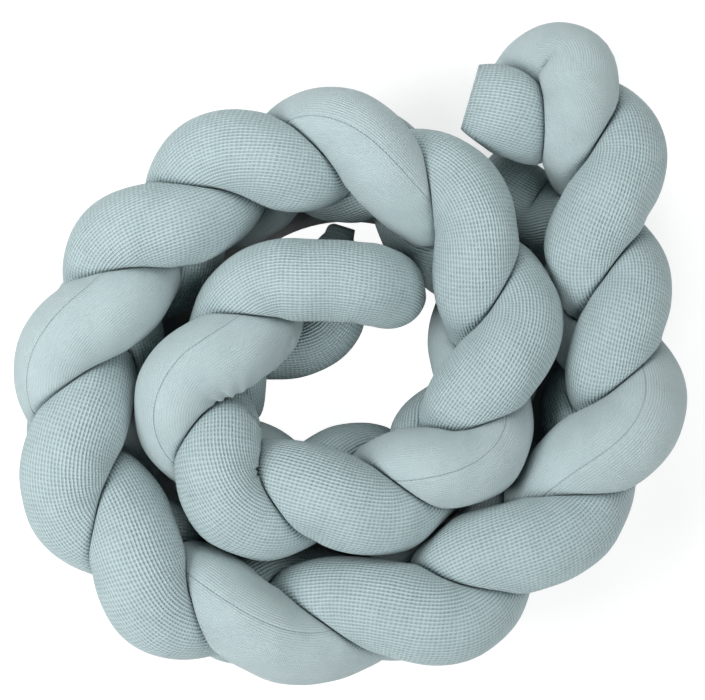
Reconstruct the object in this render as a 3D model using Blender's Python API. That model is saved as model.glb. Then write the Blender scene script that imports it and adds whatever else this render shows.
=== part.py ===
"""A braided crib bumper: three long stuffed tubes in a flat three-strand braid.

The braid stands on its edge and is coiled inwards, clockwise seen from above, for nearly two turns.
Each tube is lofted from sections that are round where the tube is free and flat where it presses on
the other tubes, on the next turn of the coil, or on the floor. Sizes here are in millimetres, with
the floor at z = 0 and the middle of the coil's bounding box at x = y = 0.
"""

import math

import bmesh
import bpy
import numpy as np
from mathutils.bvhtree import BVHTree

MM = 0.001

# Driving dimensions
THICK = 75.0        # a stuffed tube's usual diameter
RISE = 41.0         # how far a tube climbs and drops from the middle of the braid's width
PRESS = 4.0         # how far the lowest parts of a tube are pressed flat on the floor
LEAN = 12.0         # how far the braid's lower edge lies in towards the middle of the coil
GAP = 0.3           # clearance between two tubes that press on each other
CREASE = 2.5        # how softly a round section turns into a pressed one
BEND = 0.85         # share of a bend's radius that the section may fill on the inner side
CLOSE = 42.0        # length over which a tube's end narrows to its closing seam
SEAM = 3.0          # thickness of that seam
SEAM_WIDTH = 0.8    # width of that seam, as a share of the tube's diameter

# The braid's order: each lobe on the upper edge belongs to the next of the three tubes
TUBES = 3
TURN = 360.0 / TUBES    # how far a tube's sway turns from one lobe to the next
CROWN = 90.0            # where in its turn a tube is at the top of its own lobe

# The mesh
SIDES = 16          # corners of a section
STEP = 16.0         # distance from one section to the next
FINE = 2.0          # distance between the points of a centre line
LOBE_POINTS = 8     # points of the braid's path that a centre line takes for each lobe
NUDGE = 0.01        # share of a lobe over which the path's direction is measured
END_RINGS = 5       # sections over the length where an end narrows, closer towards the seam
REACH = 2 * THICK   # stretches of tube farther apart than this never press on each other
APART = 110.0       # a tube presses on another stretch of itself only past this length along it
GLANCE = 0.05       # a spoke that points less than this towards a neighbour counts as pointing this much
DRAW = 0.2          # how much a corner is drawn in at a time where two coarse tubes would cross
ROUNDS = 60         # most times that is done
TINY = 1e-6

MIDDLE = THICK / 2 - PRESS + RISE

# One row for each lobe on the braid's upper edge, from the outer end of the coil to the inner one.
# x, y: where the lobe's crown lies; swing: how far the tube sways to either side of the braid's
# middle there; thick: the tube's diameter there. The first and last rows only lead the path.
LOBES = np.array((
    # x,    y, swing, thick
    (142,  206, 15, 73),
    (192,  220, 14, 71),
    (220,  130, 20, 73),
    (229,   23, 14, 70),
    (229,  -72, 11, 79),
    (146, -164, 16, 78),
    (56,  -222, 16, 80),
    (-84, -229, 16, 72),
    (-176, -184, 15, 81),
    (-236, -88, 15, 78),
    (-222,  22, 15, 74),
    (-166, 104, 16, 74),
    (-82,  163, 18, 75),
    (12,   172, 12, 73),
    (105,  100, 16, 71),
    (128,   -9, 16, 75),
    (84,   -99, 15, 70),
    (-8,  -128, 12, 79),
    (-110, -109, 17, 76),
    (-128, -15, 14, 74),
    (-39,   57, 15, 70),
    (46,    56, 15, 69),
), dtype=float)

# One entry for each tube. first: its first lobe, every third lobe after that is its own too.
# span: the stretch of lobes over which it follows the braid. head and tail: the points x, y, z, thick
# that its centre line takes before and after that, out to its two ends.
STRANDS = {
    "strand_plain": {
        "first": 1,
        "span": (0.95, 19.2),
        "head": ((122, 200, 36, 51), (139, 209, 44, 66), (154, 225, 58, 72), (165, 240, 78, 75),
                 (179, 246, 98, 74), (191, 237, 111, 72)),
        "tail": ((-70, 23, 86, 70), (-60, 43, 62, 64), (-58, 65, 40, 51)),
        "color": (0.48, 0.60, 0.61),
    },
    "strand_waffle_a": {
        "first": 2,
        "span": (1.7, 20.0),
        "head": ((101, 215, 104, 76), (131, 206, 103, 76), (160, 199, 84, 74), (186, 204, 66, 70),
                 (212, 203, 74, 70), (228, 187, 92, 72)),
        "tail": ((-12, 58.5, 115, 70), (8, 56.5, 113, 69), (24, 55, 101, 69), (32, 54, 78, 68),
                 (33, 54, 46, 66), (33, 54, 0, 58)),
        "color": (0.45, 0.58, 0.59),
    },
    "strand_waffle_b": {
        "first": 3,
        "span": (2.2, 18.8),
        "head": ((120, 169, 31, 51), (141, 148, 31, 68), (167, 125, 32, 71)),
        "tail": ((-120, -5, 42, 71), (-96, 8, 33, 71), (-68, 11, 32, 71), (-41, 15, 32, 71),
                 (-25, 26, 32, 71), (-16, 43, 32, 70), (-12, 70, 32, 66), (-10, 98, 31, 54),
                 (-6, 113, 31, 30)),
        "color": (0.45, 0.58, 0.59),
    },
}


def spline(knots, values, at):
    """Read a natural cubic spline through the rows of values."""
    step = np.diff(knots)
    size = len(knots)
    system = np.eye(size)
    right = np.zeros_like(values)
    for row in range(1, size - 1):
        before, after = step[row - 1], step[row]
        system[row, row - 1:row + 2] = before, 2 * (before + after), after
        right[row] = 6 * ((values[row + 1] - values[row]) / after
                          - (values[row] - values[row - 1]) / before)
    bend = np.linalg.solve(system, right)
    cell = np.clip(np.searchsorted(knots, at) - 1, 0, size - 2)
    width = step[cell][:, None]
    to_next = (knots[cell + 1] - at)[:, None]
    to_last = (at - knots[cell])[:, None]
    return (bend[cell] * to_next ** 3 + bend[cell + 1] * to_last ** 3) / (6 * width) \
        + (values[cell] / width - bend[cell] * width / 6) * to_next \
        + (values[cell + 1] / width - bend[cell + 1] * width / 6) * to_last


def unit(rows):
    return rows / np.linalg.norm(rows, axis=-1, keepdims=True)


def length_along(points):
    return np.concatenate(([0.0], np.cumsum(np.linalg.norm(np.diff(points, axis=0), axis=1))))


def braid_path(place):
    """The braid's middle line in plan at places counted in lobes, and its outward direction."""
    rows = np.arange(len(LOBES), dtype=float)
    centre = spline(rows, LOBES[:, :2], place)
    ahead = unit(spline(rows, LOBES[:, :2], place + NUDGE) - spline(rows, LOBES[:, :2], place - NUDGE))
    outward = np.column_stack((-ahead[:, 1], ahead[:, 0], np.zeros(len(place))))
    return centre, outward


def knots_of(strand):
    """The points a tube's centre line goes through, with the tube's radius and outward side at each."""
    place = np.arange(strand["span"][0], strand["span"][1], 1 / LOBE_POINTS)
    centre, outward = braid_path(place)
    own = np.arange(strand["first"], len(LOBES), TUBES)
    swing = np.interp(place, own, LOBES[own, 2])
    radius = np.interp(place, own, LOBES[own, 3]) / 2
    turn = np.radians(CROWN + TURN * (place - strand["first"]))
    low = (1 - np.sin(turn)) / 2
    sway = swing * np.sin(2 * turn) - LEAN * low
    height = MIDDLE + RISE * np.sin(turn) + (radius - THICK / 2) * low
    braided = np.column_stack((centre + outward[:, :2] * sway[:, None], height))

    head = np.array(strand["head"], dtype=float)
    tail = np.array(strand["tail"], dtype=float)
    points = np.vstack((head[:, :3], braided, tail[:, :3]))
    radius = np.concatenate((head[:, 3] / 2, radius, tail[:, 3] / 2))
    side = np.vstack((np.tile(outward[0], (len(head), 1)), outward,
                      np.tile(outward[-1], (len(tail), 1))))
    return points, radius, side, len(head), len(tail)


def level_roll(ahead, side):
    """The angle through which a sideways direction rolls about the tube's own to lie level."""
    up = np.cross(ahead, side)
    return math.atan2(-side[2] * math.copysign(1, up[2]), abs(up[2]))


def centre_line(strand):
    """Points along a tube's middle, with its radius and its sideways direction at each."""
    knots, radius, side, heads, tails = knots_of(strand)
    run = length_along(knots)
    at = np.linspace(0, run[-1], round(run[-1] / FINE) + 1)
    rough = spline(run, knots, at)
    along = length_along(rough)
    at = np.linspace(0, along[-1], len(rough))
    points = spline(along, rough, at)
    ahead = unit(np.gradient(points, axis=0))
    radius = np.interp(at, along, np.interp(along, run, radius))
    side = np.column_stack([np.interp(at, run, side[:, axis]) for axis in range(3)])

    # Past the braided stretch the sideways direction is carried along and rolled level by the end
    first = int(np.searchsorted(at, run[heads]))
    last = int(np.searchsorted(at, run[-tails - 1]))
    for start, stop, way in ((first, -1, -1), (last, len(at), 1)):
        for index in range(start, stop, way):
            side[index] = side[index - way] - ahead[index] * side[index - way].dot(ahead[index])
        side = unit(side - ahead * np.sum(side * ahead, axis=1, keepdims=True))
        end = stop - way
        roll = level_roll(ahead[end], side[end])
        share = np.clip((np.arange(len(at)) - start) / (end - start), 0, 1)
        turned = roll * share * share * (3 - 2 * share)
        side = side * np.cos(turned)[:, None] + np.cross(ahead, side) * np.sin(turned)[:, None]
    return {"points": points, "radius": radius, "ahead": ahead, "side": side, "at": at}


def narrowing(line):
    """Half width and half height of a free section: round, and flat at the closing seams."""
    to_end = np.minimum(line["at"], line["at"][-1] - line["at"])
    closed = np.clip(1 - to_end / CLOSE, 0, 1)
    half_width = line["radius"] * (1 - (1 - SEAM_WIDTH) * closed ** 2)
    half_height = np.maximum(line["radius"] * np.sqrt(1 - closed ** 2), SEAM / 2)
    return half_width, half_height


def sections(line, others, picks, sides):
    """Directions and reaches of the section corners at the picked points of a tube."""
    angle = 2 * math.pi * (np.arange(sides) + 0.5) / sides
    up = np.cross(line["ahead"], line["side"])
    half_width, half_height = narrowing(line)
    spokes = (line["side"] * half_width[:, None])[picks, None, :] * np.cos(angle)[None, :, None] \
        + (up * half_height[:, None])[picks, None, :] * np.sin(angle)[None, :, None]
    free = np.linalg.norm(spokes, axis=2)
    spokes = spokes / free[:, :, None]

    # Corners stand a little outside the round section, so that the facets hold the same area
    free = free * math.sqrt(2 * math.pi / (sides * math.sin(2 * math.pi / sides)))

    # The inner side of a bend has room for only part of the bend's radius
    curve = np.gradient(line["ahead"], axis=0) / line["at"][1]
    inward = np.einsum("ijk,ik->ij", spokes, curve[picks])
    bend = BEND / np.maximum(inward, TINY)

    # A tube meets its neighbours half way, as far as both radii go
    near = (half_width + half_height) / 2
    wall = np.full(free.shape, REACH)
    for other in others:
        other_near = sum(narrowing(other)) / 2
        for row, pick in enumerate(picks):
            offset = other["points"] - line["points"][pick]
            distance = np.linalg.norm(offset, axis=1)
            keep = distance < near[pick] + REACH
            if other is line:
                keep &= np.abs(line["at"] - line["at"][pick]) > APART
            if not keep.any():
                continue
            offset, distance, reach = offset[keep], distance[keep], other_near[keep]
            half_way = (distance ** 2 + near[pick] ** 2 - reach ** 2) / (2 * distance) - GAP / 2
            facing = np.maximum(spokes[row] @ (offset / distance[:, None]).T, GLANCE)
            wall[row] = np.minimum(wall[row], (half_way / facing).min(axis=1))

    soft = sum(np.exp(-np.minimum(limit, REACH) / CREASE) for limit in (free, bend, wall))
    reach = np.maximum(-CREASE * np.log(soft), SEAM / 2)

    # The floor cuts straight, so that the tube lies flat on it
    height = line["points"][picks, 2][:, None]
    fall = np.maximum(-spokes[:, :, 2], TINY)
    return spokes, np.minimum(reach, height / fall)


def stations(line):
    """Which points of a centre line carry a section: evenly spaced, and closer at the two ends."""
    length = line["at"][-1]
    ending = CLOSE * (1 - np.cos(np.linspace(0, math.pi / 2, END_RINGS)))
    between = np.linspace(CLOSE, length - CLOSE, round((length - 2 * CLOSE) / STEP) + 1)
    places = np.concatenate((ending[:-1], between, length - ending[-2::-1]))
    return np.round(places / line["at"][1]).astype(int)


def corners(line, picks, spokes, reach):
    return line["points"][picks][:, None, :] + spokes * reach[:, :, None]


def facets(rings, sides):
    """Corner numbers of the loft's triangles, ring by ring, and of its two end caps."""
    faces = []
    for ring in range(rings - 1):
        for corner in range(sides):
            here, there = ring * sides, (ring + 1) * sides
            following = (corner + 1) % sides
            faces.append((here + corner, here + following, there + following))
            faces.append((here + corner, there + following, there + corner))
    last = (rings - 1) * sides
    for corner in range(1, sides - 1):
        faces.append((0, corner + 1, corner))
        faces.append((last, last + corner, last + corner + 1))
    return faces


def part_tubes(tubes):
    """Draw in the flat facets of the coarse tubes until no two of them come nearer than the gap."""
    for _ in range(ROUNDS):
        trees = []
        for tube in tubes:
            swollen = corners(tube["line"], tube["picks"], tube["spokes"], tube["reach"] + GAP / 2)
            points = [tuple(corner) for corner in swollen.reshape(-1, 3)]
            trees.append(BVHTree.FromPolygons(points, tube["faces"]))
        drawn = [set() for _ in tubes]
        for first in range(len(tubes)):
            for second in range(first, len(tubes)):
                for pair in trees[first].overlap(trees[second]):
                    face_a = tubes[first]["faces"][pair[0]]
                    face_b = tubes[second]["faces"][pair[1]]
                    apart = abs(face_a[0] // SIDES - face_b[0] // SIDES) * STEP
                    if first == second and apart < APART / 2:
                        continue
                    drawn[first].update(face_a)
                    drawn[second].update(face_b)
        if not any(drawn):
            return
        for tube, numbers in zip(tubes, drawn):
            tube["reach"].reshape(-1)[list(numbers)] -= DRAW


def fabric(name, color):
    material = bpy.data.materials.new(name)
    material.use_nodes = True
    shader = material.node_tree.nodes["Principled BSDF"]
    shader.inputs["Base Color"].default_value = (*color, 1.0)
    shader.inputs["Roughness"].default_value = 0.9
    shader.inputs["Metallic"].default_value = 0.0
    return material


def loft(name, tube, color, collection):
    """Make one tube's object from its rings of corners."""
    mesh = bpy.data.meshes.new(name)
    points = corners(tube["line"], tube["picks"], tube["spokes"], tube["reach"]) * MM
    mesh.from_pydata([tuple(point) for point in points.reshape(-1, 3)], [], tube["faces"])
    shape = bmesh.new()
    shape.from_mesh(mesh)
    bmesh.ops.recalc_face_normals(shape, faces=shape.faces[:])
    shape.to_mesh(mesh)
    shape.free()
    mesh.shade_smooth()
    mesh.materials.append(fabric(name, color))
    collection.objects.link(bpy.data.objects.new(name, mesh))


def build():
    for item in list(bpy.data.objects):
        bpy.data.objects.remove(item)
    collection = bpy.data.collections.new("crib_bumper")
    bpy.context.scene.collection.children.link(collection)

    lines = {name: centre_line(strand) for name, strand in STRANDS.items()}
    tubes = {}
    for name, line in lines.items():
        picks = stations(line)
        spokes, reach = sections(line, lines.values(), picks, SIDES)
        tubes[name] = {"line": line, "picks": picks, "spokes": spokes, "reach": reach,
                       "faces": facets(len(picks), SIDES)}
    part_tubes(list(tubes.values()))
    for name, tube in tubes.items():
        loft(name, tube, STRANDS[name]["color"], collection)


build()
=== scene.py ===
import math

import bpy
import numpy as np
from mathutils import Matrix, Vector


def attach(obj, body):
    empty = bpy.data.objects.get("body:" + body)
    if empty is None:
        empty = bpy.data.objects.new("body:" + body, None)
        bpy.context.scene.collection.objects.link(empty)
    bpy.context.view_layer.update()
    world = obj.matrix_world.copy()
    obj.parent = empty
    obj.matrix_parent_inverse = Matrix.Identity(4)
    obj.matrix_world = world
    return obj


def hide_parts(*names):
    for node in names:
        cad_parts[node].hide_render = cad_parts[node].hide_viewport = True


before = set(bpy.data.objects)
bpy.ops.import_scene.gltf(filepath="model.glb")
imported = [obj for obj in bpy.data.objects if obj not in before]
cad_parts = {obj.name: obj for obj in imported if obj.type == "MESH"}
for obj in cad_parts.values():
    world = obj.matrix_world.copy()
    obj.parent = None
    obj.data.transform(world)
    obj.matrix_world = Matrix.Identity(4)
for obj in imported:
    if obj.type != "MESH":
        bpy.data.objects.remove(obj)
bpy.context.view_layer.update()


# ---- The plain knit tube -------------------------------------------------------------------------
# A long tube of fine rib knit, sewn closed along one seam, stuffed with loose fibre and shut at both
# ends. It is plaited with two others of waffle knit into a flat braid, which stands on its edge and is
# coiled inwards, so that all three press each other, and the floor, flat where they meet.

MM = 0.001           # the tubes' sizes below are in millimetres
FULL = 75.0          # a well filled tube's diameter
CLIMB = 41.0         # how far a tube rises and drops from the middle of the braid's width
SQUASH = 4.0         # how far its lowest parts are pressed flat on the floor
INWARD = 12.0        # how far the braid's lower edge lies in towards the middle of the coil
TOUCH = 0.3          # air between two tubes that press on each other
CREASE = 2.5         # how softly the round skin turns into a pressed flat
FLOOR_CREASE = 1.0   # the same where it turns onto the floor
TIGHTEST = 0.85      # share of a bend's radius that the inner side may fill
GATHER = 42.0        # length over which a tube's end narrows to the seam that shuts it
END_SEAM = 3.0       # thickness of that seam
END_WIDTH = 0.8      # its width, as a share of the tube's diameter
TUBES = 3
TURN = 360.0 / TUBES
CROWN = 90.0
KNOTS_A_LOBE = 8
NUDGE = 0.01         # lobes to either side of a place between which its direction is taken
ALONG = 1.6          # spacing of the points on a tube's middle line
REACH = 2 * FULL     # tubes farther apart than this don't press on each other
APART = 110.0        # a tube presses on its own other turn only past this length along it
GLANCE = 0.05        # least cosine between a spoke and the way to the other tube
TINY = 1e-6
MIDDLE = FULL / 2 - SQUASH + CLIMB

# One row for each lobe on top of the braid, from the outer end of the coil inwards: where its crown
# lies, how far the tube sways to either side of the braid's middle there, and its diameter
LOBES = np.array((
    # x,    y, sway, thick
    (142,  206, 15, 73),
    (192,  220, 14, 71),
    (220,  130, 20, 73),
    (229,   23, 14, 70),
    (229,  -72, 11, 79),
    (146, -164, 16, 78),
    (56,  -222, 16, 80),
    (-84, -229, 16, 72),
    (-176, -184, 15, 81),
    (-236, -88, 15, 78),
    (-222,  22, 15, 74),
    (-166, 104, 16, 74),
    (-82,  163, 18, 75),
    (12,   172, 12, 73),
    (105,  100, 16, 71),
    (128,   -9, 16, 75),
    (84,   -99, 15, 70),
    (-8,  -128, 12, 79),
    (-110, -109, 17, 76),
    (-128, -15, 14, 74),
    (-39,   57, 15, 70),
    (46,    56, 15, 69),
), dtype=float)

# first: a tube's first lobe. span: the lobes between which it is plaited. outer and inner: the points
# x, y, z, thick of its middle line outside the plait, at the coil's outer and inner end
PLAIT = {
    "strand_plain": {
        "first": 1,
        "span": (0.95, 19.2),
        "outer": ((122, 200, 36, 51), (139, 209, 44, 66), (154, 225, 58, 72), (165, 240, 78, 75),
                  (179, 246, 98, 74), (191, 237, 111, 72)),
        "inner": ((-70, 23, 86, 70), (-60, 43, 62, 64), (-58, 65, 40, 51)),
    },
    "strand_waffle_a": {
        "first": 2,
        "span": (1.7, 20.0),
        "outer": ((101, 215, 104, 76), (131, 206, 103, 76), (160, 199, 84, 74), (186, 204, 66, 70),
                  (212, 203, 74, 70), (228, 187, 92, 72)),
        "inner": ((-12, 58.5, 115, 70), (8, 56.5, 113, 69), (24, 55, 101, 69), (32, 54, 78, 68),
                  (33, 54, 46, 66), (33, 54, 0, 58)),
    },
    "strand_waffle_b": {
        "first": 3,
        "span": (2.2, 18.8),
        "outer": ((120, 169, 31, 51), (141, 148, 31, 68), (167, 125, 32, 71)),
        "inner": ((-120, -5, 42, 71), (-96, 8, 33, 71), (-68, 11, 32, 71), (-41, 15, 32, 71),
                  (-25, 26, 32, 71), (-16, 43, 32, 70), (-12, 70, 32, 66), (-10, 98, 31, 54),
                  (-6, 113, 31, 30)),
    },
}


def drawn_through(knots, values, at):
    """A smooth curve through the rows of values, as a natural cubic spline."""
    step = np.diff(knots)
    size = len(knots)
    system = np.eye(size)
    right = np.zeros_like(values)
    for row in range(1, size - 1):
        before, after = step[row - 1], step[row]
        system[row, row - 1:row + 2] = before, 2 * (before + after), after
        right[row] = 6 * ((values[row + 1] - values[row]) / after
                          - (values[row] - values[row - 1]) / before)
    bend = np.linalg.solve(system, right)
    cell = np.clip(np.searchsorted(knots, at) - 1, 0, size - 2)
    width = step[cell][:, None]
    to_next = (knots[cell + 1] - at)[:, None]
    to_last = (at - knots[cell])[:, None]
    return (bend[cell] * to_next ** 3 + bend[cell + 1] * to_last ** 3) / (6 * width) \
        + (values[cell] / width - bend[cell] * width / 6) * to_next \
        + (values[cell + 1] / width - bend[cell + 1] * width / 6) * to_last


def unit(rows):
    return rows / np.linalg.norm(rows, axis=-1, keepdims=True)


def length_along(points):
    return np.concatenate(([0.0], np.cumsum(np.linalg.norm(np.diff(points, axis=0), axis=1))))


def braid_middle(place):
    """The braid's middle in plan at places counted in lobes, and the way out from the coil."""
    rows = np.arange(len(LOBES), dtype=float)
    middle = drawn_through(rows, LOBES[:, :2], place)
    onward = unit(drawn_through(rows, LOBES[:, :2], place + NUDGE)
                  - drawn_through(rows, LOBES[:, :2], place - NUDGE))
    return middle, np.column_stack((-onward[:, 1], onward[:, 0], np.zeros(len(place))))


def rolled_level(ahead, side, start, stop, way):
    """The outward side of a tube that has left the plait, and rolls until its end seam lies level."""
    for index in range(start, stop, way):
        side[index] = side[index - way] - ahead[index] * side[index - way].dot(ahead[index])
    side = unit(side - ahead * np.sum(side * ahead, axis=1, keepdims=True))
    end = stop - way
    up = np.cross(ahead[end], side[end])
    roll = math.atan2(-side[end][2] * math.copysign(1, up[2]), abs(up[2]))
    share = np.clip((np.arange(len(side)) - start) / (end - start), 0, 1)
    rolled = roll * share * share * (3 - 2 * share)
    return side * np.cos(rolled)[:, None] + np.cross(ahead, side) * np.sin(rolled)[:, None]


def middle_line(tube):
    """Points along a tube's middle, with its radius and its outward side at each."""
    place = np.arange(tube["span"][0], tube["span"][1], 1 / KNOTS_A_LOBE)
    middle, outward = braid_middle(place)
    own = np.arange(tube["first"], len(LOBES), TUBES)
    thick = np.interp(place, own, LOBES[own, 3])
    turn = np.radians(CROWN + TURN * (place - tube["first"]))
    low = (1 - np.sin(turn)) / 2
    sway = np.interp(place, own, LOBES[own, 2]) * np.sin(2 * turn) - INWARD * low
    height = MIDDLE + CLIMB * np.sin(turn) + (thick - FULL) / 2 * low
    plaited = np.column_stack((middle + outward[:, :2] * sway[:, None], height))

    outer = np.array(tube["outer"], dtype=float)
    inner = np.array(tube["inner"], dtype=float)
    knots = np.vstack((outer[:, :3], plaited, inner[:, :3]))
    radius = np.concatenate((outer[:, 3], thick, inner[:, 3])) / 2
    side = np.vstack((np.tile(outward[0], (len(outer), 1)), outward,
                      np.tile(outward[-1], (len(inner), 1))))
    run = length_along(knots)
    rough = drawn_through(run, knots, np.linspace(0, run[-1], round(run[-1] / ALONG) + 1))
    along = length_along(rough)
    at = np.linspace(0, along[-1], len(rough))
    points = drawn_through(along, rough, at)
    ahead = unit(np.gradient(points, axis=0))
    radius = np.interp(at, along, np.interp(along, run, radius))
    side = np.column_stack([np.interp(at, run, side[:, axis]) for axis in range(3)])

    first = int(np.searchsorted(at, run[len(outer)]))
    last = int(np.searchsorted(at, run[-len(inner) - 1]))
    side = rolled_level(ahead, side, first, -1, -1)
    side = rolled_level(ahead, side, last, len(at), 1)
    return {"points": points, "radius": radius, "ahead": ahead, "side": side, "at": at}


def filled_out(line):
    """Half width and half height of the free tube: round, and flat at the seams that shut it."""
    to_end = np.minimum(line["at"], line["at"][-1] - line["at"])
    shut = np.clip(1 - to_end / GATHER, 0, 1)
    half_width = line["radius"] * (1 - (1 - END_WIDTH) * shut ** 2)
    return half_width, np.maximum(line["radius"] * np.sqrt(1 - shut ** 2), END_SEAM / 2)


def flats(line, others, rings, spokes):
    """How far each spoke reaches before the flat that two tubes press on each other."""
    near = sum(filled_out(line)) / 2
    wall = np.full(spokes.shape[:2], REACH)
    for other in others:
        other_near = sum(filled_out(other)) / 2
        for row, ring in enumerate(rings):
            offset = other["points"] - line["points"][ring]
            distance = np.linalg.norm(offset, axis=1)
            keep = distance < near[ring] + REACH
            if other is line:
                keep &= np.abs(line["at"] - line["at"][ring]) > APART
            if not keep.any():
                continue
            offset, distance, reach = offset[keep], distance[keep], other_near[keep]
            half_way = (distance ** 2 + near[ring] ** 2 - reach ** 2) / (2 * distance) - TOUCH / 2
            facing = np.maximum(spokes[row] @ (offset / distance[:, None]).T, GLANCE)
            wall[row] = np.minimum(wall[row], (half_way / facing).min(axis=1))
    return wall


def soft_least(limits, crease):
    """The least of several limits, rounded over where two of them are nearly alike."""
    return -crease * np.log(sum(np.exp(-np.minimum(limit, REACH) / crease) for limit in limits))


def pressed_skin(line, others, rings, angles):
    """Directions and reaches of the skin's points, ring by ring, from a tube's middle line."""
    up = np.cross(line["ahead"], line["side"])
    half_width, half_height = filled_out(line)
    spokes = (line["side"] * half_width[:, None])[rings, None, :] * np.cos(angles)[:, :, None] \
        + (up * half_height[:, None])[rings, None, :] * np.sin(angles)[:, :, None]
    free = np.linalg.norm(spokes, axis=2)
    spokes = spokes / free[:, :, None]

    curve = np.gradient(line["ahead"], axis=0) / line["at"][1]
    inward = np.einsum("ijk,ik->ij", spokes, curve[rings])
    bend = TIGHTEST / np.maximum(inward, TINY)

    wall = flats(line, others, rings, spokes)
    reach = np.maximum(soft_least((free, bend, wall), CREASE), END_SEAM / 2)
    floor = line["points"][rings, 2][:, None] / np.maximum(-spokes[:, :, 2], TINY)
    return spokes, np.minimum(soft_least((reach, floor), FLOOR_CREASE), floor), wall, inward


lines = {name: middle_line(tube) for name, tube in PLAIT.items()}

# The skin is a grid of rings along the tube and columns round it, closer beside the long seam
RING_STEP = 2        # points of the middle line from one ring to the next
COLUMNS = 96
SEAM_COLUMNS = (0.4, 1.1, 2.0)   # degrees to either side of the seam

# Where the long seam runs round the plain tube: the lobe, and the angle from its outward side
PLAIN_SEAM = ((1, 215), (2.4, 150), (4, 97), (7, 107), (10, 57), (13, 85), (16, 87), (19, 65))

# The long seam draws the skin in along its line, and lets it swell a little on both sides
SEAM_DEPTH = 0.35
SEAM_WIDTH = 0.7
SWELLING = 0.25
SWELLING_AT = 2.2
SWELLING_WIDTH = 1.0
DEEP_FROM = 20.0     # distance of the skin from the middle line at which the seam is fully deep

# The cloth is cut to fit the outer side of each bend, and puckers on the inner side of a tight one
SMOOTH_OVER = 15     # points of the middle line
OUTER_SIDE = 0.8     # share of the radius at which the cloth keeps its own length
PUCKER_FROM = 0.5    # share of the bend's radius that the skin fills where the puckers start
PUCKER_DEPTH = 1.6
PUCKER_PITCH = 11.0
PUCKER_STRAY = 1.5   # radians by which a pucker is out of step, over the length below
PUCKER_DRIFT = 23.0

# The filling's unevenness is a sum of low waves, which lie flat where another tube is close
LUMPS = (
    # length along the tube, waves round it, height
    (150, 1, 0.50),
    (95, 2, 0.40),
    (62, 1, 0.30),
    (48, 3, 0.25),
    (33, 2, 0.18),
    (24, 4, 0.12),
)
LUMP_DRIFT = 1.7     # lengths of a wave over which it drifts round the tube
LUMP_ROOM = 6.0      # distance from the other tube at which the waves are fully high

# Folds where the knit is pushed together on the inner side of a bend and beside the plain tube's
# inner end, and one wide dent that flattens that end
FOLDS = (
    # tube, along, angle, half length round (degrees), half width (mm), depth, slant (mm a degree)
    ("strand_plain", 2441, 155, 20, 4.5, 2.2, 0.10),
    ("strand_plain", 2453, 160, 24, 4.0, 2.8, 0.05),
    ("strand_plain", 2464, 163, 20, 4.5, 2.4, -0.05),
    ("strand_plain", 2477, 165, 18, 5.0, 1.6, -0.10),
    ("strand_plain", 2503, 190, 22, 3.0, 2.0, 0.00),
    ("strand_plain", 2510, 190, 26, 2.8, 3.2, 0.00),
    ("strand_plain", 2516, 188, 26, 2.8, 3.4, 0.00),
    ("strand_plain", 2522, 186, 26, 2.8, 3.2, 0.00),
    ("strand_plain", 2537, 165, 40, 45.0, 12.0, 0.00),
    ("strand_plain", 100, 140, 30, 7.0, 3.0, 0.45),
    ("strand_waffle_b", 2206, 156, 20, 3.2, 3.2, 0.15),
    ("strand_waffle_b", 2213, 164, 20, 3.4, 3.4, 0.05),
    ("strand_waffle_b", 2240, 172, 18, 4.5, 1.4, 0.00),
    ("strand_waffle_b", 2252, 170, 28, 4.5, 5.0, -0.10),
    ("strand_waffle_b", 2260, 145, 22, 4.0, 3.6, -0.05),
)


def column_angles():
    near = np.array(SEAM_COLUMNS)
    even = np.arange(0, 360, 360 / COLUMNS)
    return np.sort(np.concatenate((even, near, 360 - near)))


def ring_places(line):
    """Rings along a tube, closer where its ends are gathered."""
    count = len(line["at"])
    gathered = int(GATHER / line["at"][1])
    return np.concatenate((np.arange(gathered), np.arange(gathered, count - gathered, RING_STEP),
                           np.arange(count - gathered, count)))


def lumpy(reach, along, angles, room, seed):
    """The skin's reach with the filling's slight unevenness, which fades out at the tube's ends."""
    chance = np.random.default_rng(seed)
    total = np.zeros(angles.shape)
    for length, waves, height in LUMPS:
        turn = chance.uniform(0, 2 * math.pi)
        drift = chance.uniform(-1, 1)
        total += height * np.sin(2 * math.pi * along / length + waves * angles + turn
                                 + drift * np.sin(along / (length * LUMP_DRIFT)))
    ending = np.clip(np.minimum(along, along[-1] - along) / GATHER, 0, 1)
    return reach + total * np.clip(room / LUMP_ROOM, 0, 1) * ending


def puckered(reach, along, inward):
    """The skin's reach where the cloth is pushed together on the inner side of a tight bend."""
    tight = np.clip(reach * inward - PUCKER_FROM, 0, 1 - PUCKER_FROM)
    ripple = np.sin(2 * math.pi * along / PUCKER_PITCH + PUCKER_STRAY * np.sin(along / PUCKER_DRIFT))
    return reach - tight * (1 + ripple) * PUCKER_DEPTH


def seamed(reach, columns):
    """The skin's reach with the long seam, which lies at column angle 0."""
    beside = np.radians((columns + 180) % 360 - 180) * FULL / 2
    drawn_in = SEAM_DEPTH * np.exp(-(beside / SEAM_WIDTH) ** 2) \
        - SWELLING * np.exp(-((np.abs(beside) - SWELLING_AT) / SWELLING_WIDTH) ** 2)
    return reach - drawn_in[None, :] * np.clip(reach / DEEP_FROM, 0, 1)


def folded(reach, name, along, angles):
    """The skin's reach with a tube's own folds, each a trough with a low ridge on both sides."""
    degrees = np.degrees(angles)
    for tube, place, angle, length, width, depth, slant in FOLDS:
        if tube != name:
            continue
        round_off = (degrees - angle + 180) % 360 - 180
        off = (along - place - slant * round_off) / width
        reach = reach - depth * (1 - off ** 2) * np.exp(-off ** 2) * np.exp(-(round_off / length) ** 2)
    return reach


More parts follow.
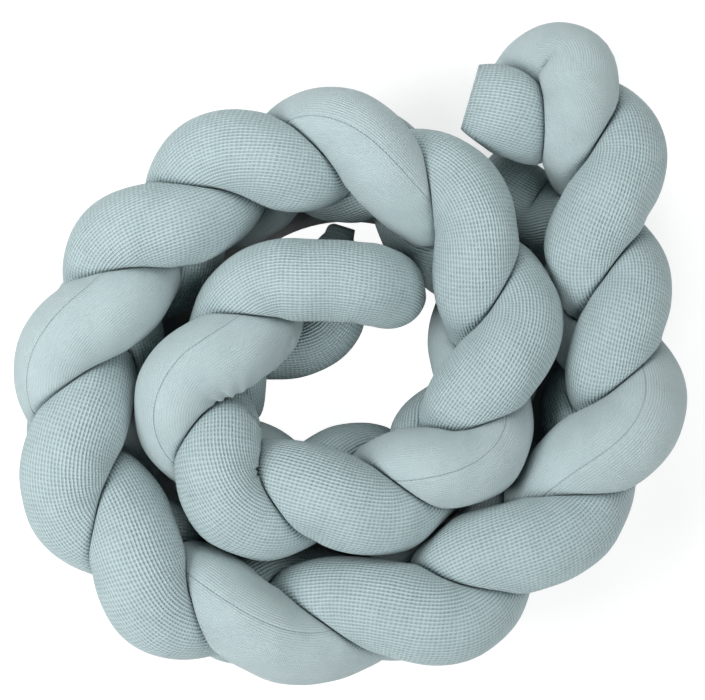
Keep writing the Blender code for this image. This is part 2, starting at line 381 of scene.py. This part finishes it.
def skin(name, line, rings, columns, angles, seed):
    """The points of a tube's skin in metres, ring by ring."""
    along = line["at"][rings][:, None]
    spokes, reach, wall, inward = pressed_skin(line, lines.values(), rings, angles)
    reach = lumpy(reach, along, angles, wall - reach, seed)
    reach = puckered(reach, along, inward)
    reach = seamed(reach, columns)
    reach = folded(reach, name, along, angles)
    height = line["points"][rings, 2][:, None]
    reach = np.minimum(reach, height / np.maximum(-spokes[:, :, 2], TINY))
    return (line["points"][rings][:, None, :] + spokes * reach[:, :, None]) * MM


def cloth_length(line):
    """Length along the cloth, which is cut to fit the outer side of each bend and creases inside it."""
    bend = np.linalg.norm(np.gradient(line["ahead"], axis=0), axis=1) / line["at"][1]
    window = np.hanning(SMOOTH_OVER)
    bend = np.convolve(np.pad(bend, SMOOTH_OVER // 2, mode="edge"), window / window.sum(), "valid")
    stretch = 1 + OUTER_SIDE * line["radius"] * bend
    return np.cumsum(stretch) * line["at"][1]


def sew_tube(name, piece_name, seam_angle, seed):
    """Make a tube's skin as a mesh, with a map of its cloth in millimetres: round, and along."""
    line = lines[name]
    rings = ring_places(line)
    columns = column_angles()
    angles = np.radians(columns[None, :] + seam_angle(line)[rings][:, None])
    points = skin(name, line, rings, columns, angles, seed)

    many, round_about = len(rings), len(columns)
    ring, column = np.meshgrid(np.arange(many - 1), np.arange(round_about), indexing="ij")
    following = (column + 1) % round_about
    quads = np.stack((ring * round_about + column, ring * round_about + following,
                      (ring + 1) * round_about + following, (ring + 1) * round_about + column), axis=-1)
    faces = quads.reshape(-1, 4).tolist()
    faces.append(list(range(round_about))[::-1])
    faces.append([(many - 1) * round_about + corner for corner in range(round_about)])
    mesh = bpy.data.meshes.new(piece_name)
    mesh.from_pydata(points.reshape(-1, 3).tolist(), [], faces)
    mesh.shade_smooth()

    # The map holds the four corners of each face on the side, then those of the two ends
    across = np.radians(np.append(columns, 360)) * FULL / 2
    own = cloth_length(line)[rings]
    side = np.stack((
        np.stack((across[column], across[column + 1], across[column + 1], across[column]), -1),
        np.stack((own[ring], own[ring], own[ring + 1], own[ring + 1]), -1)), -1)
    outer_end, inner_end = (np.column_stack((across[:-1], np.full(round_about, length)))
                            for length in own[[0, -1]])
    corners = np.concatenate((side.reshape(-1, 2), outer_end[::-1], inner_end))
    cloth_map = mesh.uv_layers.new(name="cloth")
    cloth_map.data.foreach_set("uv", corners.ravel().astype(np.float32))
    piece = bpy.data.objects.new(piece_name, mesh)
    bpy.context.scene.collection.objects.link(piece)
    return piece


def plain_seam_angle(line):
    """The seam's angle along the plain tube, which turns a little from lobe to lobe."""
    lobes, angles = np.array(PLAIN_SEAM, dtype=float).T
    low = np.where(line["points"][:, 2] < MIDDLE, FULL, 0)
    crowns = []
    for lobe in lobes:
        off = np.linalg.norm(line["points"][:, :2] - LOBES[int(lobe), :2], axis=1)
        crowns.append(line["at"][np.argmin(off + low)])
    within = np.clip(line["at"], crowns[0], crowns[-1])
    return drawn_through(np.array(crowns), angles[:, None], within)[:, 0]


# Both knits are one cotton yarn, pale grey-blue. All noise scales are per millimetre of the cloth
YARN = (0.46, 0.575, 0.58)
YARN_ROUGHNESS = 0.9
YARN_SHINE = 0.2
DOWN = 0.12              # how much the yarn's fine upright fibres show
DOWN_ROUGHNESS = 0.4
FUZZ_SCALE = 0.9
DYE_SCALE = 0.03         # clouds in the dye
DYE_DETAIL = 3.0
DYE_LIGHTENS = 0.3
ACROSS_DRIFT = 0.035     # the knit's rows stray a little: over what scale, and how far
ACROSS_STRAY = 1.6
ALONG_DRIFT = 0.05
ALONG_STRAY = 3.5

ROUND = math.pi * FULL   # the cloth's width
SEAM_LINE = 0.6          # half the width of the long seam's dark line
SEAM_STITCH = 3.2
STITCH_SHOWS = 0.65
THREAD_SHOWS = 0.15      # how much the line shows between two stitches
SEAM_SHADE = (0.21, 0.275, 0.29)


class Cloth:
    """The shader of a knit, worked out from the cloth map's two directions, in millimetres."""

    def __init__(self, name):
        self.material = bpy.data.materials.new(name)
        self.material.use_nodes = True
        self.tree = self.material.node_tree
        self.shader = self.tree.nodes["Principled BSDF"]
        self.shader.inputs["Base Color"].default_value = (*YARN, 1)
        self.shader.inputs["Roughness"].default_value = YARN_ROUGHNESS
        self.shader.inputs["Specular IOR Level"].default_value = YARN_SHINE
        self.shader.inputs["Sheen Weight"].default_value = DOWN
        self.shader.inputs["Sheen Roughness"].default_value = DOWN_ROUGHNESS
        cloth_map = self.tree.nodes.new("ShaderNodeUVMap")
        cloth_map.uv_map = "cloth"
        split = self.tree.nodes.new("ShaderNodeSeparateXYZ")
        self.tree.links.new(cloth_map.outputs["UV"], split.inputs[0])
        self.place = cloth_map.outputs["UV"]
        self.from_seam = split.outputs["X"]
        self.across = self.times(self.cloudy(ACROSS_DRIFT), ACROSS_STRAY, split.outputs["X"])
        self.along = self.times(self.cloudy(ALONG_DRIFT), ALONG_STRAY, split.outputs["Y"])

    def work_out(self, operation, *values):
        """What an operation on numbers and other nodes' values gives."""
        node = self.tree.nodes.new("ShaderNodeMath")
        node.operation = operation
        for socket, value in zip(node.inputs, values):
            if isinstance(value, (int, float)):
                socket.default_value = value
            else:
                self.tree.links.new(value, socket)
        return node.outputs[0]

    def times(self, value, by, plus=0.0):
        return self.work_out("MULTIPLY_ADD", value, by, plus)

    def rows(self, direction, pitch, sharp=1.0):
        """Waves between 0 and 1 in one direction of the cloth, with peaks a pitch apart."""
        wave = self.work_out("COSINE", self.times(direction, 2 * math.pi / pitch))
        wave = self.times(wave, 0.5, 0.5)
        return self.work_out("POWER", wave, sharp) if sharp != 1.0 else wave

    def cloudy(self, scale, detail=2.0):
        noise = self.tree.nodes.new("ShaderNodeTexNoise")
        noise.inputs["Scale"].default_value = scale
        noise.inputs["Detail"].default_value = detail
        self.tree.links.new(self.place, noise.inputs["Vector"])
        return noise.outputs["Fac"]

    def sewn_line(self):
        """The long seam's line of stitches, up to 1 on it and 0 off it."""
        beside = self.work_out("MINIMUM", self.from_seam, self.times(self.from_seam, -1.0, ROUND))
        line = self.work_out("MAXIMUM", self.times(beside, -1 / SEAM_LINE, 1.0), 0.0)
        return self.times(line, self.times(self.rows(self.along, SEAM_STITCH), STITCH_SHOWS, THREAD_SHOWS))

    def tint(self, first, second, share):
        """Mix from the first colour to the second, each a plain colour or another mix."""
        mix = self.tree.nodes.new("ShaderNodeMix")
        mix.data_type = "RGBA"
        share_socket, first_socket, second_socket = mix.inputs[0], mix.inputs[6], mix.inputs[7]
        for socket, color in ((first_socket, first), (second_socket, second)):
            if isinstance(color, tuple):
                socket.default_value = (*color, 1)
            else:
                self.tree.links.new(color, socket)
        self.tree.links.new(share, share_socket)
        return mix.outputs[2]

    def dye_and_paint_shade(self, color, sewn):
        """Give the cloth its colour with the painted shade of its knit, and the seam's stitches on it."""
        self.tree.links.new(self.tint(color, SEAM_SHADE, sewn), self.shader.inputs["Base Color"])

    def dull(self, roughness):
        self.tree.links.new(roughness, self.shader.inputs["Roughness"])

    def raise_up(self, height, sewn, relief):
        """Raise the knit by its height, where 1 stands for the relief in metres, and sink the seam."""
        bump = self.tree.nodes.new("ShaderNodeBump")
        bump.inputs["Strength"].default_value = 1.0
        bump.inputs["Distance"].default_value = relief
        self.tree.links.new(self.work_out("SUBTRACT", height, sewn), bump.inputs["Height"])
        self.tree.links.new(bump.outputs["Normal"], self.shader.inputs["Normal"])


PLAIN_RIBS = 102
PLAIN_COURSE = 1.7       # height of a stitch
PLAIN_RELIEF = 0.0007    # height of a rib in metres
GROOVE_ROUGHER = 0.06
WEAR_SCALE = 0.05        # patches where the ribs stand out more or less
WEAR_RAISES = 0.8
OUTER_RAISES = 0.2       # the ribs stand out more on the half of the tube past the seam
COURSE_RAISES = 0.3
FUZZ_RAISES = 0.8
PLAIN_LIGHT = 0.42       # share of the painted-light colour in a groove, and the painted light that a rib adds
RIB_PAINTED_LIGHT = 0.26
# The yarn's colour in painted shade and in painted light
PAINTED_SHADE_YARN = (0.163, 0.224, 0.236)
PAINTED_LIGHT_YARN = (0.400, 0.486, 0.498)


def plain_knit():
    """Fine ribs along the tube with low courses across them, and the long seam's stitches."""
    cloth = Cloth("plain_knit")
    rib = cloth.rows(cloth.across, ROUND / PLAIN_RIBS)
    course = cloth.rows(cloth.along, PLAIN_COURSE)
    outer_half = cloth.work_out("GREATER_THAN", cloth.from_seam, ROUND / 2)
    wear = cloth.times(cloth.cloudy(WEAR_SCALE), WEAR_RAISES, cloth.times(outer_half, OUTER_RAISES))
    knit = cloth.times(rib, wear)
    knit = cloth.times(course, COURSE_RAISES, knit)
    knit = cloth.times(cloth.cloudy(FUZZ_SCALE), FUZZ_RAISES, knit)
    sewn = cloth.sewn_line()
    cloth.raise_up(knit, sewn, PLAIN_RELIEF)
    cloth.dull(cloth.times(knit, -GROOVE_ROUGHER, YARN_ROUGHNESS + GROOVE_ROUGHER))
    # Painted shade in the grooves and painted light on the ribs and fuzz, with the yarn's colour clouds
    clouds = cloth.times(cloth.cloudy(DYE_SCALE, DYE_DETAIL), DYE_LIGHTENS, PLAIN_LIGHT)
    cloth.dye_and_paint_shade(cloth.tint(PAINTED_SHADE_YARN, PAINTED_LIGHT_YARN, cloth.times(knit, RIB_PAINTED_LIGHT, clouds)), sewn)
    return cloth.material


plain_tube = sew_tube("strand_plain", "plain_tube", plain_seam_angle, seed=5)
plain_tube.data.materials.append(plain_knit())
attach(plain_tube, "root")
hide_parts("strand_plain")


# ---- The two waffle knit tubes -------------------------------------------------------------------
# Tubes of cotton waffle knit, stuffed and shut in the same way. Ribs run along them, with a row of
# small pits in each groove between two ribs. Their long seams lie underneath.

UNDERSIDE = -90.0
RIBS = 79
GROOVE_SHARP = 1.2
CELL = 3.8               # length of a cell along the tube
BAR_SHARP = 1.5
BAR_RAISES = 0.62        # how far the bar between two pits fills the groove
WAFFLE_RELIEF = 0.0011   # depth of a pit in metres
PIT_ROUGHER = 0.06
WAFFLE_WEAR_SCALE = 0.15
WEAR_SINKS = 0.6
WORN_DEPTH = 0.7         # depth that is left to a pit in the most worn patches
WAFFLE_FUZZ_RAISES = 0.4
WAFFLE_LIGHT = 0.62      # share of the painted-light colour on a rib, the painted shade that a pit takes, and the painted light that the fuzz adds
PIT_PAINTED_SHADE = 0.6
FUZZ_PAINTED_LIGHT = 0.35
# The waffle yarn's colour in painted shade and in painted light
PAINTED_SHADE_WAFFLE = (0.157, 0.225, 0.237)
PAINTED_LIGHT_WAFFLE = (0.386, 0.484, 0.498)

WAFFLE_TUBES = (
    # solid, piece, seed of its unevenness
    ("strand_waffle_a", "waffle_tube_a", 11),
    ("strand_waffle_b", "waffle_tube_b", 17),
)


def waffle_knit():
    """Ribs along the tube, with a row of pits in each groove between two of them."""
    cloth = Cloth("waffle_knit")
    groove = cloth.rows(cloth.across, ROUND / RIBS, GROOVE_SHARP)
    bar = cloth.rows(cloth.along, CELL, BAR_SHARP)
    wear = cloth.times(cloth.cloudy(WAFFLE_WEAR_SCALE), WEAR_SINKS, WORN_DEPTH)
    pit = cloth.times(groove, cloth.times(bar, -BAR_RAISES, 1.0))
    pit = cloth.times(pit, wear)
    fuzz = cloth.cloudy(FUZZ_SCALE)
    sewn = cloth.sewn_line()
    cloth.raise_up(cloth.times(fuzz, WAFFLE_FUZZ_RAISES, cloth.times(pit, -1.0)), sewn, WAFFLE_RELIEF)
    cloth.dull(cloth.times(pit, PIT_ROUGHER, YARN_ROUGHNESS))
    # Painted shade in the pits and painted light on the fuzz, with the yarn's colour clouds
    shade = cloth.times(pit, -PIT_PAINTED_SHADE, WAFFLE_LIGHT)
    shade = cloth.times(cloth.cloudy(DYE_SCALE, DYE_DETAIL), DYE_LIGHTENS, shade)
    shade = cloth.times(fuzz, FUZZ_PAINTED_LIGHT, shade)
    cloth.dye_and_paint_shade(cloth.tint(PAINTED_SHADE_WAFFLE, PAINTED_LIGHT_WAFFLE, shade), sewn)
    return cloth.material


def seam_underneath(line):
    return np.full(len(line["at"]), UNDERSIDE)


waffle = waffle_knit()
for node, piece_name, seed in WAFFLE_TUBES:
    tube = sew_tube(node, piece_name, seam_underneath, seed)
    tube.data.materials.append(waffle)
    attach(tube, "root")
    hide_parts(node)


# ---- The floor, the sheet in the middle, the lights and the camera -------------------------------
# White paper that glows round the coil with painted shade under it, and a glowing sheet of painted light
# in the coil's open middle that throws no light on the tubes. Four soft lights stand round the coil under
# a white sky, and the camera looks straight down on it from a little off its middle.

COIL_MIDDLE = (0.0, -0.01, 0.0)
PAPER_SHADE = 0.42
PAPER_ROUGHNESS = 0.9
FLOOR_GLOW = 0.6
PAINTED_SHADE_TO = 0.205        # painted shade under the coil: the floor glows only from here, in metres from the coil's middle,
GLOWING_FROM = 0.225     # and fully from here
FLOOR_REACH = 30.0
SHEET_GLOW = 0.95
SHEET_RADIUS = 0.13
SHEET_CORNERS = 96
SHEET_THICK = 0.0002


def paper(name, glow):
    material = bpy.data.materials.new(name)
    material.use_nodes = True
    surface = material.node_tree.nodes["Principled BSDF"]
    surface.inputs["Base Color"].default_value = (PAPER_SHADE, PAPER_SHADE, PAPER_SHADE, 1)
    surface.inputs["Roughness"].default_value = PAPER_ROUGHNESS
    surface.inputs["Emission Color"].default_value = (1, 1, 1, 1)
    surface.inputs["Emission Strength"].default_value = glow
    return material


def paint_shade_under_coil(material):
    """Take away the paper's glow up to a distance from the coil's middle, as painted shade under the coil.
    """
    nodes, links = material.node_tree.nodes, material.node_tree.links
    position = nodes.new("ShaderNodeNewGeometry")
    from_middle = nodes.new("ShaderNodeVectorMath")
    from_middle.operation = "DISTANCE"
    from_middle.inputs[1].default_value = COIL_MIDDLE
    glow = nodes.new("ShaderNodeMapRange")
    glow.inputs["From Min"].default_value = PAINTED_SHADE_TO
    glow.inputs["From Max"].default_value = GLOWING_FROM
    glow.inputs["To Min"].default_value = 0.0
    glow.inputs["To Max"].default_value = FLOOR_GLOW
    links.new(position.outputs["Position"], from_middle.inputs[0])
    links.new(from_middle.outputs["Value"], glow.inputs["Value"])
    links.new(glow.outputs["Result"], nodes["Principled BSDF"].inputs["Emission Strength"])


def lay(name, corners, material):
    mesh = bpy.data.meshes.new(name)
    mesh.from_pydata(corners, [], [tuple(range(len(corners)))])
    mesh.materials.append(material)
    piece = bpy.data.objects.new(name, mesh)
    bpy.context.scene.collection.objects.link(piece)
    return piece


floor_paper = paper("floor_paper", FLOOR_GLOW)
paint_shade_under_coil(floor_paper)
lay("floor", [(FLOOR_REACH * x, FLOOR_REACH * y, 0) for x, y in ((-1, -1), (1, -1), (1, 1), (-1, 1))],
    floor_paper)

# A glowing sheet of painted light in the coil's open middle, where the coil would shade the floor
sheet_turns = np.linspace(0, 2 * math.pi, SHEET_CORNERS, endpoint=False)
sheet_edge = [(COIL_MIDDLE[0] + SHEET_RADIUS * math.cos(turn),
               COIL_MIDDLE[1] + SHEET_RADIUS * math.sin(turn), SHEET_THICK) for turn in sheet_turns]
sheet = lay("sheet_in_the_middle", sheet_edge, paper("sheet_painted_light", SHEET_GLOW))
sheet.visible_diffuse = False

sky = bpy.data.worlds.new("white_sky")
sky.use_nodes = True
sky.node_tree.nodes["Background"].inputs["Color"].default_value = (1, 1, 1, 1)
sky.node_tree.nodes["Background"].inputs["Strength"].default_value = 1.0
sky.cycles_visibility.diffuse = False
sky.cycles_visibility.glossy = False
bpy.context.scene.world = sky

SOFTBOX_CLIMB = math.radians(43)
SOFTBOX_SIZE = 0.55      # share of its distance
SOFTBOXES = (
    # from (degrees round from +X), metres away, watts
    (190, 1.7, 26),
    (280, 4.0, 102),
    (100, 1.2, 7.5),
    (10, 3.0, 32),
)
for direction, away, watts in SOFTBOXES:
    softbox = bpy.data.lights.new(f"softbox_{direction}", "AREA")
    softbox.shape = "SQUARE"
    softbox.size = SOFTBOX_SIZE * away
    softbox.energy = watts
    softbox_object = bpy.data.objects.new(softbox.name, softbox)
    level = away * math.cos(SOFTBOX_CLIMB)
    bearing = math.radians(direction)
    softbox_object.location = (level * math.cos(bearing), level * math.sin(bearing),
                               away * math.sin(SOFTBOX_CLIMB))
    softbox_object.rotation_mode = "QUATERNION"
    softbox_object.rotation_quaternion = (-softbox_object.location).to_track_quat("-Z", "Y")
    bpy.context.scene.collection.objects.link(softbox_object)

EYE = Vector((-0.034, -0.035, 1.550))
AIM = Vector((0.002, 0.001, 0.078))
SENSOR = 36
LENS = 87.0
camera_data = bpy.data.cameras.new("camera")
camera_data.sensor_width = SENSOR
camera_data.lens = LENS
camera = bpy.data.objects.new("camera", camera_data)
bpy.context.scene.collection.objects.link(camera)
look = (AIM - EYE).normalized()
right = look.cross(Vector((0, 1, 0))).normalized()
top = right.cross(look)
camera.matrix_world = Matrix.Translation(EYE) @ Matrix((right, top, -look)).transposed().to_4x4()
bpy.context.scene.camera = camera
bpy.context.scene.view_settings.view_transform = "Standard"
